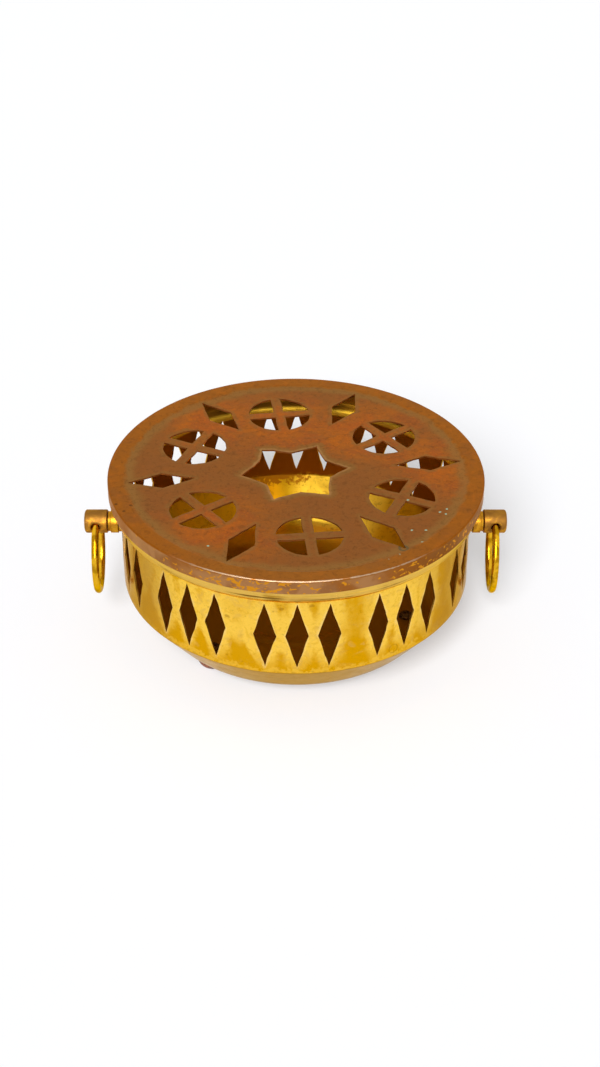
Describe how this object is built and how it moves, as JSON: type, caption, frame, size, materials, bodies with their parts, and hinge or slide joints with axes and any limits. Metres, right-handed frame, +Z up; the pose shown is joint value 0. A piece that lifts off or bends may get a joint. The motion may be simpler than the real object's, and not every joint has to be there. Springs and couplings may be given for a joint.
{
  "type": "food warmer",
  "caption": "Round pierced food warmer: brass bowl with diamond windows and swinging lug rings, under a lift-off copper lid cut with a star, wheels and rhombi.",
  "frame": {"origin": "centre of the bounding box's bottom, on the table under the middle of the bowl", "axes": "+X towards the right lug, +Y to the back, +Z up along the bowl's axis"},
  "size_m": [0.2518, 0.22, 0.104],
  "materials": {
    "aged_copper": "aged sheet copper, mottled orange and brown, half dull",
    "polished_brass": "spun brass, polished, slightly blotched",
    "aged_brass": "turned brass, dulled by handling",
    "ring_brass": "drawn brass wire, bright",
    "screw_brass": "darkened slotted brass screw",
    "dark_wood": "turned, stained and waxed"
  },
  "bodies": {
    "bowl_assembly": {"bowl": "polished_brass", "right_outer_washer": "aged_brass", "right_collar": "aged_brass", "right_boss": "aged_brass", "right_inner_washer": "aged_brass", "right_lug_screw": "screw_brass", "left_outer_washer": "aged_brass", "left_collar": "aged_brass", "left_boss": "aged_brass", "left_inner_washer": "aged_brass", "left_lug_screw": "screw_brass", "left_foot": "dark_wood", "left_foot_screw": "screw_brass", "right_foot": "dark_wood", "right_foot_screw": "screw_brass", "back_foot": "dark_wood", "back_foot_screw": "screw_brass"},
    "lid": {"lid": "aged_copper"},
    "right_ring": {"right_ring": "ring_brass"},
    "left_ring": {"left_ring": "ring_brass"}
  },
  "joints": [
    {"name": "lid_lift", "type": "slide", "parent": "bowl_assembly", "child": "lid", "axis": [0, 0, 1], "range_m": [0, 0.06]},
    {"name": "right_ring_swing", "type": "hinge", "parent": "bowl_assembly", "child": "right_ring", "pos_m": [0.1189, 0, 0.0684], "axis": [0, -1, 0], "range_deg": [-20, 188]},
    {"name": "left_ring_swing", "type": "hinge", "parent": "bowl_assembly", "child": "left_ring", "pos_m": [-0.1189, 0, 0.0684], "axis": [0, 1, 0], "range_deg": [-20, 188]}
  ]
}
